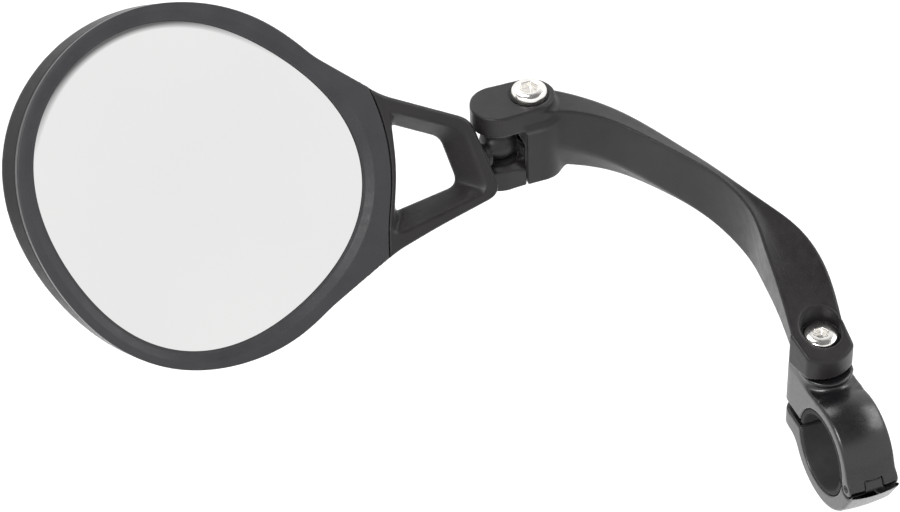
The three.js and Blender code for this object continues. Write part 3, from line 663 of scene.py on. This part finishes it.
def rim_ring(name, corners):
    """A ring swept round the head from a closed section of [radius round the rim, z, cut back]."""
    section = rounded(corners, 5)
    radius, z = section[..., 0], section[..., 1]
    points = np.stack([radius * np.cos(TURN), radius * np.sin(TURN), z], -1)
    faces = ring_faces(len(section), RIM_SEGMENTS, True)
    return mesh_object(name, head_to_drawing(points.reshape(-1, 3)), faces)


def rim_plate(name, radius, back, front, edge):
    """A plate with the outline of a rim, its edges chamfered and its faces in fine rings."""
    shares = np.linspace(0.08, 1, 12)
    rows = [(radius * s, back) for s in shares[:-1]] + [(radius - edge, back)]
    rows += [(radius, back + edge), (radius, front - edge), (radius - edge, front)]
    rows += [(radius * s, front) for s in shares[-2::-1]]
    points = [np.stack([r * np.cos(TURN), r * np.sin(TURN), np.full_like(TURN, z)], -1)
              for r, z in rows]
    points = np.concatenate(points + [np.array([[0, 0, back], [0, 0, front]])])
    faces = ring_faces(len(rows), RIM_SEGMENTS, False)
    hub = len(points) - 2
    last = (len(rows) - 1) * RIM_SEGMENTS
    for j in range(RIM_SEGMENTS):
        m = (j + 1) % RIM_SEGMENTS
        faces.append((hub, m, j))
        faces.append((hub + 1, last + j, last + m))
    return mesh_object(name, head_to_drawing(points), faces)


# ------------------------------------------------------------------ handlebar clamp
HINGE_YZ = tuple(HINGE[1:])
SEAT_RADIUS = LINER_OUTER + 0.1
SPLIT_GAP = 0.2
KNUCKLE, KNUCKLE_HALF, PIN_RADIUS = 2.5, 2.6, 1.0
TAB_RADIUS, TAB_TOP, TAB_BOTTOM, TAB_THICKNESS = 8.3, 1.2, -1.8, 6.0
TAB_ROOT_RADIUS, TAB_START, GAP_START = 9.5, 5.5, 5.0
PAD_START = (0, SWIVEL[1] - 3.7)
PAD_NECK_RADII, FLANGE_RADIUS, FLANGE = (7.1, 7.5), 7.8, 1.3
EAR_REACH, KNUCKLE_GAP = 4.5, 0.3
LINER_GAP = 0.8
# How much thicker the two bands are than the plain ring, and how far they fall off at the sides.
UPPER_EXTRA, LOWER_EXTRA, LOWER_KNUCKLE_EXTRA, CROWN = 0.5, 1.2, 1.5, 1.1


def tab_plan(x, y):
    end = capsule(x, y, (SWIVEL[0], SWIVEL[1] - 9), SWIVEL_XY, TAB_ROOT_RADIUS, TAB_RADIUS)
    return np.maximum(end, TAB_START - y)


def side_faces(x):
    return np.abs(x) - CLAMP_HALF


def from_hinge(y, z):
    return cylinder(y, z, *HINGE_YZ, 0)


def crown(x):
    """How much lower the band is towards its sides than along its middle."""
    return CROWN * (x / CLAMP_HALF) ** 2


def knuckle(x, y, z, half, radius):
    return np.maximum(from_hinge(y, z) - radius, np.abs(x) - half)


def tab_gap(y, z):
    return np.maximum(slab(z, TAB_BOTTOM, TAB_TOP, 0.2), GAP_START - y)


def finished_half(mass, x, y, z):
    """A clamp half with its side faces, the liner's seat and the hinge pin's hole cut."""
    mass = smax(mass, side_faces(x), 0.9)
    mass = smax(mass, SEAT_RADIUS - np.hypot(y, z), 0.5)
    return smax(mass, PIN_RADIUS + 0.1 - from_hinge(y, z), 0.2)


def clamp_upper_solid(p):
    x, y, z = p.T
    band = capsule(y, z, (0, 0), HINGE_YZ, BAND_RADIUS + UPPER_EXTRA, KNUCKLE) + crown(x)
    tab = smax(tab_plan(x, y), slab(z, -2, PAD_TOP - 3.2, 1.0), 1.0)
    neck_plan = capsule(x, y, PAD_START, SWIVEL_XY, *PAD_NECK_RADII)
    neck = np.maximum(neck_plan, z - PAD_TOP + FLANGE)
    flange_plan = capsule(x, y, PAD_START, SWIVEL_XY, FLANGE_RADIUS, TAB_RADIUS - 0.2)
    flange = smax(flange_plan, slab(z, PAD_TOP - FLANGE, PAD_TOP, 0.5), 0.7)
    mass = smin(smin(band, tab, 2.0), np.maximum(neck, 2 - z), 2.2)
    mass = smin(mass, flange, 0.5)
    mass = smax(mass, SPLIT_GAP - z, 0.3)
    mass = smax(mass, -tab_gap(y, z), 0.4)
    middle = KNUCKLE_HALF + 0.25
    off = from_hinge(y, z)
    ears = smin(off - KNUCKLE, np.maximum(mass, off - EAR_REACH), 1.2)
    ears = smax(ears, middle - np.abs(x), 0.3)
    mass = smax(mass, -knuckle(x, y, z, middle, KNUCKLE + KNUCKLE_GAP), 0.3)
    mass = smin(mass, ears, 0.2)
    mass = finished_half(mass, x, y, z)
    return smax(mass, -cylinder(x, y, *SWIVEL_XY, CLAMP_SCREW_HOLE), 0.3)


def clamp_lower_solid(p):
    x, y, z = p.T
    band = capsule(y, z, (0, 0), HINGE_YZ, BAND_RADIUS + LOWER_EXTRA,
                   KNUCKLE + LOWER_KNUCKLE_EXTRA) + crown(x) / 2
    bottom = TAB_BOTTOM - TAB_THICKNESS
    tab = smax(tab_plan(x, y), slab(z, bottom, TAB_BOTTOM, 0.9), 0.9)
    mass = smin(smax(band, z + SPLIT_GAP, 0.4), tab, 3.0)
    mass = smax(mass, -tab_gap(y, z), 0.4)
    off = from_hinge(y, z)
    mass = smax(mass, -np.maximum(off - KNUCKLE - KNUCKLE_GAP, KNUCKLE_HALF - np.abs(x)), 0.3)
    eye = smax(off - KNUCKLE, np.abs(x) - KNUCKLE_HALF, 0.3)
    mass = finished_half(smin(mass, eye, 0.6), x, y, z)
    slot = capsule(x, y, SWIVEL_XY, (SWIVEL[0], SWIVEL[1] + 0.8), 2.7, 2.7)
    return smax(mass, -slot, 0.3)


def liner_solid(side):
    def solid(p):
        x, y, z = p.T
        off = np.hypot(y, z)
        ring = smax(off - LINER_OUTER, LINER_OUTER - LINER_THICKNESS - off, 0.4)
        ring = smax(ring, np.abs(x) - CLAMP_HALF + 0.15, 0.5)
        return smax(ring, LINER_GAP - side * z, 0.3)
    return solid


# ------------------------------------------------------------------ screws and turned parts
def hexagon(x, y, turn):
    """Half the width across the flats of the hexagon that a point lies on."""
    sides = [turn + k * math.pi / 3 for k in range(3)]
    return np.stack([np.abs(x * math.cos(a) + y * math.sin(a)) for a in sides]).max(0)


CONE_SLOPE, THREAD_DEPTH, PLAIN_SHANK = 0.7, 0.3, 3.0


def screw_solid(origin, shank, length, head, height, across_flats, pitch):
    """A button-head screw along Z, with a hexagon socket and a rolled thread."""
    def solid(p):
        x, y, z = (p - origin).T
        off = np.hypot(x, y)
        button = smax(off - head, slab(z, 0, height, 0.25), 0.25)
        cone = (z - height + (off - 0.8 * head) * CONE_SLOPE) / math.hypot(1, CONE_SLOPE)
        button = smax(button, cone, 0.8)
        turn = np.arctan2(y, x) / (2 * math.pi)
        wave = np.abs(((z / pitch - turn) % 1) - 0.5) * 2
        fade = np.clip((-z - PLAIN_SHANK) / 2, 0, 1)
        thread = shank - THREAD_DEPTH * fade * wave
        rod = smax(off - thread, slab(z, -length, 0.5, 0.5), 0.6)
        body = smin(button, rod, 0.2)
        socket = np.maximum(hexagon(x, y, 0.5) - across_flats / 2, height * 0.3 - z)
        return smax(body, -socket, 0.3)
    return solid


def lathe(name, corners, origin, axis=(0, 0, 1), segments=96):
    """A ring turned about an axis from a closed section of [radius, height, cut back]."""
    section = rounded(corners, 3)
    angles = np.arange(segments) * 2 * math.pi / segments
    turn = np.array(Vector(axis).to_track_quat("Z", "Y").to_matrix())
    points = np.stack(np.broadcast_arrays(
        section[:, 0, None] * np.cos(angles), section[:, 0, None] * np.sin(angles),
        section[:, 1, None]), -1)
    return mesh_object(name, points.reshape(-1, 3) @ turn.T + origin,
                       ring_faces(len(section), segments, True))


def washer_section(inner, outer, low, high, edge=0.15):
    return [(inner, low, edge), (outer, low, edge), (outer, high, edge), (inner, high, edge)]


def knurled_insert(centre, axis_frame, inner, outer, low, high):
    """A threaded insert with a knurled outside and a plain band round its middle."""
    def solid(p):
        q = (p - centre) @ axis_frame
        off = np.hypot(q[:, 0], q[:, 1])
        turn = np.arctan2(q[:, 1], q[:, 0])
        middle = np.clip((np.abs(q[:, 2] - (low + high) / 2) - 0.5) / 0.3, 0, 1)
        wall = outer - 0.18 * np.abs(np.sin(14 * turn)) * middle - 0.25 * (1 - middle)
        body = smax(off - wall, slab(q[:, 2], low, high, 0.2), 0.25)
        return smax(body, inner - off, 0.15)
    return solid


def seat_solid(side, radius, near, far):
    """A cup with a spherical dimple: side is 1 above the ball and -1 below it."""
    def solid(p):
        x, y, z = (p - BALL).T
        body = smax(np.hypot(x, y) - radius, slab(side * z, near, far, 0.4), 0.5)
        return smax(body, BALL_RADIUS + 0.12 - np.linalg.norm(p - BALL, axis=1), 0.15)
    return solid


# The countersunk screw in the ball, along the stem: its head, shank, thread and hexagon socket.
CONE_RADIUS, CONE_FACE = 2.5, -4.2
ROD_RADIUS, ROD_START, ROD_END = 1.5, -3.6, 12.0
ROD_PITCH, ROD_GROOVE = 0.7, 0.12
HEX_HALF, HEX_FLOOR = 1.0, -3.0


def ball_screw_solid(p):
    along, off = along_stem(p)
    side = np.cross(STEM_DIRECTION, (0, 0, 1))
    u, v = (p - BALL) @ side, p[:, 2] - BALL[2]
    cone = (off - CONE_RADIUS + (along - CONE_FACE)) / math.sqrt(2)
    head = smax(smax(cone, CONE_FACE - along, 0.1), off - CONE_RADIUS, 0.1)
    turn = np.arctan2(v, u) / (2 * math.pi)
    groove = ROD_GROOVE * np.abs(((along / ROD_PITCH - turn) % 1) - 0.5) * 2
    thread = off - ROD_RADIUS + groove * np.clip(along, 0, 1)
    body = smin(head, smax(thread, slab(along, ROD_START, ROD_END, 0.2), 0.2), 0.1)
    return smax(body, -np.maximum(hexagon(u, v, 0) - HEX_HALF, along - HEX_FLOOR), 0.1)


# ------------------------------------------------------------------ materials
def new_material(name):
    material = bpy.data.materials.new(name)
    material.use_nodes = True
    tree = material.node_tree
    return material, tree, tree.nodes["Principled BSDF"]


def noise(tree, scale, detail=3.0, roughness=0.5):
    where = tree.nodes.new("ShaderNodeTexCoord")
    node = tree.nodes.new("ShaderNodeTexNoise")
    node.inputs["Scale"].default_value = scale
    node.inputs["Detail"].default_value = detail
    node.inputs["Roughness"].default_value = roughness
    tree.links.new(where.outputs["Object"], node.inputs["Vector"])
    return node.outputs["Fac"]


def spread(tree, value, low, high, start=0.3, stop=0.7):
    node = tree.nodes.new("ShaderNodeMapRange")
    for key, number in (("From Min", start), ("From Max", stop), ("To Min", low), ("To Max", high)):
        node.inputs[key].default_value = number
    tree.links.new(value, node.inputs["Value"])
    return node.outputs["Result"]


def tint(tree, value, dark, light):
    node = tree.nodes.new("ShaderNodeMix")
    node.data_type = "RGBA"
    node.inputs["A"].default_value = (*dark, 1)
    node.inputs["B"].default_value = (*light, 1)
    tree.links.new(value, node.inputs["Factor"])
    return node.outputs["Result"]


def bump(tree, shader, height, strength, depth, below=None):
    node = tree.nodes.new("ShaderNodeBump")
    node.inputs["Strength"].default_value = strength
    node.inputs["Distance"].default_value = depth
    tree.links.new(height, node.inputs["Height"])
    if below is not None:
        tree.links.new(below, node.inputs["Normal"])
    tree.links.new(node.outputs["Normal"], shader.inputs["Normal"])
    return node.outputs["Normal"]


def moulded(name, dark, light, rough, grain, grain_depth, sheen=0.0):
    """A moulded plastic or rubber with uneven colour and gloss and a fine pressed grain."""
    material, tree, shader = new_material(name)
    colour = tint(tree, spread(tree, noise(tree, 90), 0, 1), dark, light)
    tree.links.new(colour, shader.inputs["Base Color"])
    uneven = spread(tree, noise(tree, 350, 4), *rough)
    tree.links.new(uneven, shader.inputs["Roughness"])
    shader.inputs["Specular IOR Level"].default_value = 0.36
    shader.inputs["Sheen Weight"].default_value = sheen
    shader.inputs["Sheen Roughness"].default_value = 0.35
    broad = bump(tree, shader, noise(tree, 260, 2), 0.12, 0.0002)
    bump(tree, shader, noise(tree, grain, 2, 0.7), 0.55, grain_depth, broad)
    return material


def gloss_paint():
    """Deep black paint, with plainer machined side faces."""
    material, tree, shader = new_material("black_paint")
    where = tree.nodes.new("ShaderNodeTexCoord")
    apart = tree.nodes.new("ShaderNodeSeparateXYZ")
    tree.links.new(where.outputs["Normal"], apart.inputs["Vector"])
    size = tree.nodes.new("ShaderNodeMath")
    size.operation = "ABSOLUTE"
    tree.links.new(apart.outputs["X"], size.inputs[0])
    side = spread(tree, size.outputs["Value"], 0, 1, 0.85, 0.97)
    colour = tint(tree, side, (0.006, 0.006, 0.007), (0.045, 0.045, 0.047))
    tree.links.new(colour, shader.inputs["Base Color"])
    rough = spread(tree, side, 0.27, 0.42, 0, 1)
    speckle = spread(tree, noise(tree, 900, 3), -0.03, 0.05)
    total = tree.nodes.new("ShaderNodeMath")
    tree.links.new(rough, total.inputs[0])
    tree.links.new(speckle, total.inputs[1])
    tree.links.new(total.outputs["Value"], shader.inputs["Roughness"])
    shader.inputs["Coat Weight"].default_value = 0.25
    shader.inputs["Coat Roughness"].default_value = 0.2
    bump(tree, shader, noise(tree, 420, 2), 0.10, 0.0002)
    return material


def metal(name, dark, light, rough):
    material, tree, shader = new_material(name)
    colour = tint(tree, spread(tree, noise(tree, 500), 0, 1), dark, light)
    tree.links.new(colour, shader.inputs["Base Color"])
    shader.inputs["Metallic"].default_value = 1
    uneven = spread(tree, noise(tree, 1400, 4), *rough)
    tree.links.new(uneven, shader.inputs["Roughness"])
    bump(tree, shader, noise(tree, 1800, 3), 0.05, 0.00005)
    return material


def silvered_glass():
    material, tree, shader = new_material("silvered_glass")
    haze = spread(tree, noise(tree, 14, 4), 0, 1)
    colour = tint(tree, haze, (0.665, 0.67, 0.665), (0.69, 0.69, 0.685))
    tree.links.new(colour, shader.inputs["Base Color"])
    shader.inputs["Metallic"].default_value = 1
    smudge = spread(tree, noise(tree, 45, 5), 0.015, 0.06)
    tree.links.new(smudge, shader.inputs["Roughness"])
    shader.inputs["Coat Weight"].default_value = 0.3
    return material


NYLON = moulded("black_nylon", (0.0075, 0.0060, 0.0070), (0.0115, 0.0095, 0.0108),
                rough=(0.34, 0.46), grain=2600, grain_depth=0.0001, sheen=0.2)
BEZEL_NYLON = moulded("textured_nylon", (0.0200, 0.0190, 0.0215), (0.0280, 0.0265, 0.0295),
                      rough=(0.40, 0.52), grain=2200, grain_depth=0.00015, sheen=0.2)
BALL_PLASTIC = moulded("ball_plastic", (0.010, 0.010, 0.011), (0.016, 0.016, 0.017),
                       rough=(0.38, 0.48), grain=1500, grain_depth=0.00004)
RUBBER = moulded("soft_rubber", (0.012, 0.012, 0.012), (0.022, 0.022, 0.022),
                 rough=(0.7, 0.9), grain=1800, grain_depth=0.0001)
PAINT = gloss_paint()
STEEL = metal("polished_steel", (0.80, 0.78, 0.75), (0.92, 0.90, 0.87), (0.12, 0.24))
PIN_STEEL = metal("blackened_steel", (0.03, 0.03, 0.03), (0.06, 0.058, 0.055), (0.35, 0.5))
BRASS = metal("turned_brass", (0.55, 0.40, 0.18), (0.72, 0.55, 0.28), (0.22, 0.38))
GLASS = silvered_glass()


# ------------------------------------------------------------------ the pieces
def in_box(node, margin=0.3):
    low, high = drawing_box(node)
    return low - margin, high + margin


def made(name, node, body, slot, material, solid, step):
    obj = solid_object(name, solid, *in_box(node), step)
    return finish_piece(obj, body, slot, material, node)


made("arm_body", "arm", "arm", "black_nylon", NYLON, arm_solid, 0.42)
made("jaw_body", "lower_jaw", "jaw", "black_nylon", NYLON, lower_jaw_solid, 0.22)
made("ball_stem", "ball", "ball", "ball_plastic", BALL_PLASTIC, ball_solid, 0.2)
made("clamp_top_half", "clamp_upper", "clamp", "painted_clamp", PAINT, clamp_upper_solid, 0.3)
made("clamp_bottom_half", "clamp_lower", "clamp_half", "painted_clamp", PAINT,
     clamp_lower_solid, 0.3)
made("liner_top", "liner_upper", "clamp", "liner_rubber", RUBBER, liner_solid(1), 0.3)
made("liner_bottom", "liner_lower", "clamp_half", "liner_rubber", RUBBER, liner_solid(-1), 0.3)

CLAMP_SCREW = screw_solid(
    np.array([*SWIVEL_XY, WASHER_TOP + 0.03]),
    shank=2.5, length=35, head=5.05, height=2.1, across_flats=3.6, pitch=0.8)
JAW_SCREW_BODY = screw_solid(
    np.array([*SCREW_XY, JAW_TOP - 0.4]),
    shank=3, length=25, head=5.25, height=2.9, across_flats=4.8, pitch=1.0)
made("clamp_bolt_m5", "clamp_screw", "clamp_bolt", "polished_steel", STEEL, CLAMP_SCREW, 0.12)
made("jaw_bolt_m6", "jaw_screw", "jaw_bolt", "polished_steel", STEEL, JAW_SCREW_BODY, 0.12)
made("ball_screw_m3", "ball_screw", "head", "polished_steel", STEEL, ball_screw_solid, 0.12)
made("seat_top", "ball_seat_upper", "seats", "seat_rubber", RUBBER,
     seat_solid(1, radius=5.8, near=4.6, far=9.6), 0.22)
made("seat_bottom", "ball_seat_lower", "seats", "seat_rubber", RUBBER,
     seat_solid(-1, radius=5.3, near=5, far=8.4), 0.22)
UPRIGHT = np.eye(3)
STEM_FRAME = np.stack([(0, 0, 1), np.cross(STEM_DIRECTION, (0, 0, 1)), STEM_DIRECTION], 1)
made("jaw_insert", "jaw_thread_insert", "jaw", "insert_brass", BRASS,
     knurled_insert(np.array([*SCREW_XY, 0]), UPRIGHT, inner=3.1, outer=3.7,
                    low=JAW_BOTTOM + 0.7, high=JAW_BOTTOM + 9.2), 0.18)
made("neck_insert", "neck_thread_insert", "head", "insert_brass", BRASS,
     knurled_insert(BALL, STEM_FRAME, inner=1.6, outer=2.3, low=8, high=12.1), 0.14)

SWIVEL_AXIS = np.array([*SWIVEL_XY, 0])
washer_ring = lathe("bolt_washer", washer_section(2.7, 4.9, POCKET_FLOOR + 0.02, WASHER_TOP),
                    SWIVEL_AXIS)
finish_piece(washer_ring, "clamp_bolt", "polished_steel", STEEL, "clamp_screw_washer")
disc_low, disc_high = drawing_box("swivel_disc")
disc = lathe("swivel_washer", washer_section(2.75, 7.2, disc_low[2], disc_high[2]), SWIVEL_AXIS)
finish_piece(disc, "clamp", "seat_rubber", RUBBER, "swivel_disc")
pin = lathe("hinge_pin", [
    (0.02, -7.4, 0), (0.35, -7.4, 0.05), (0.55, -7.5, 0.05), (PIN_RADIUS, -7.3, 0.1),
    (PIN_RADIUS, 7.3, 0.1), (0.55, 7.5, 0.05), (0.35, 7.4, 0.05), (0.02, 7.4, 0),
], HINGE - np.array([HINGE[0], 0, 0]), (1, 0, 0), 48)
finish_piece(pin, "clamp", "polished_steel", PIN_STEEL, "clamp_hinge_pin")

GLASS_FRONT, GLASS_THICKNESS = -1.8, 2.0
bezel = rim_ring("bezel_ring", [
    (GLASS_RIM + 0.2, -1.72, 0.03), (GLASS_RIM + 1.9, -1.72, 0.05),
    (GLASS_RIM + 1.9, -BEZEL_DEPTH, 0.15), (HEAD_RIM, -BEZEL_DEPTH, 0.25),
    (HEAD_RIM, 0, 0.55), (GLASS_RIM + 3.1, 0, 0.4), (GLASS_RIM + 0.9, -1.45, 0.12),
    (GLASS_RIM + 0.2, -1.52, 0.05),
])
finish_piece(bezel, "head", "black_nylon", BEZEL_NYLON, "front_bezel")
glass = rim_plate("glass_plate", GLASS_RIM + 1.5, GLASS_FRONT - GLASS_THICKNESS, GLASS_FRONT, 0.3)
finish_piece(glass, "head", "mirror_glass", GLASS, "mirror_glass")
pad = rim_plate("backing_foam", GLASS_RIM - 1, -6.1, -4.1, 0.3)
finish_piece(pad, "head", "seat_rubber", RUBBER, "glass_backing_pad")
housing = solid_object("housing_shell", housing_solid, (-54, -55, -15), (89, 57, 1), 0.5,
                       head_to_drawing)
finish_piece(housing, "head", "black_nylon", NYLON, "rear_housing")


# ------------------------------------------------------------------ camera, light and floor
def linked(name, data):
    obj = bpy.data.objects.new(name, data)
    bpy.context.scene.collection.objects.link(obj)
    return obj


def aim(obj, target):
    obj.rotation_mode = "QUATERNION"
    obj.rotation_quaternion = (Vector(target) - obj.location).to_track_quat("-Z", "Y")


CAMERA_LENS = 115.09
CAMERA_TURNS = (-19.565, 41.263, -2.559)
CAMERA_PLACE = (-289.73, -495.06, 570.76)


def make_camera():
    """The photo's camera: turns are azimuth, height and roll in degrees, place is in mm."""
    camera = linked("camera", bpy.data.cameras.new("camera"))
    camera.data.sensor_width = 36
    camera.data.lens = CAMERA_LENS
    azimuth, height, roll = (math.radians(a) for a in CAMERA_TURNS)
    towards = np.array([
        math.sin(azimuth) * math.cos(height), -math.cos(azimuth) * math.cos(height),
        math.sin(height),
    ])
    level = np.array([math.cos(azimuth), math.sin(azimuth), 0])
    upward = np.cross(towards, level)
    right = level * math.cos(roll) + upward * math.sin(roll)
    up = upward * math.cos(roll) - level * math.sin(roll)
    place = (np.array(CAMERA_PLACE) + BORE) / MM
    matrix = np.eye(4)
    matrix[:3] = np.stack([right, up, towards, place], 1)
    camera.matrix_world = Matrix(matrix.tolist())
    bpy.context.scene.camera = camera


def soft_box(name, place, target, width, height, radiance):
    light = bpy.data.lights.new(name, "AREA")
    light.shape = "RECTANGLE"
    light.size, light.size_y = width, height
    light.energy = radiance * math.pi * width * height
    obj = linked(name, light)
    obj.location = place
    aim(obj, target)


# The sky's strength low down and overhead, and the heights between which it fades.
SKY_STRENGTH = (1.2, 0.2)
SKY_FADE = (0.64, 0.84)
FLOOR_HALF, FLOOR_HEIGHT, FLOOR_GLOW = 6.0, -0.3, 0.16


def make_world():
    """White up to a little above the horizon, and dimmer overhead."""
    world = bpy.data.worlds.new("studio")
    bpy.context.scene.world = world
    world.use_nodes = True
    tree = world.node_tree
    where = tree.nodes.new("ShaderNodeTexCoord")
    apart = tree.nodes.new("ShaderNodeSeparateXYZ")
    tree.links.new(where.outputs["Generated"], apart.inputs["Vector"])
    fade = spread(tree, apart.outputs["Z"], *SKY_STRENGTH, *SKY_FADE)
    tree.links.new(fade, tree.nodes["Background"].inputs["Strength"])
    tree.nodes["Background"].inputs["Color"].default_value = (1, 1, 1, 1)


def make_floor():
    material, tree, shader = new_material("pale_floor")
    colour = tint(tree, spread(tree, noise(tree, 3), 0, 1), (0.93, 0.93, 0.93), (0.95, 0.95, 0.95))
    tree.links.new(colour, shader.inputs["Base Color"])
    shader.inputs["Roughness"].default_value = 0.9
    shader.inputs["Emission Color"].default_value = (1, 1, 1, 1)
    shader.inputs["Emission Strength"].default_value = FLOOR_GLOW
    signs = ((-1, -1), (1, -1), (1, 1), (-1, 1))
    corners = [(FLOOR_HALF * a, FLOOR_HALF * b, FLOOR_HEIGHT) for a, b in signs]
    floor = mesh_object("floor", corners, [(0, 1, 2, 3)], to_row=False)
    floor.data.materials.append(material)
    floor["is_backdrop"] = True


bpy.context.scene.view_settings.view_transform = "Standard"
make_camera()
make_world()
make_floor()
MIDDLE = (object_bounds()[0][0] / 2, 0.06, 0.03)
ORIGIN = (0, 0, 0)
soft_box("key", (-0.55, -0.25, 0.75), MIDDLE, 0.35, 0.35, radiance=14)
soft_box("right", (0.75, 0.0, 0.8), ORIGIN, 0.8, 0.3, radiance=5)
soft_box("back", (-0.07, 0.67, 0.87), ORIGIN, 0.3, 0.6, radiance=4)
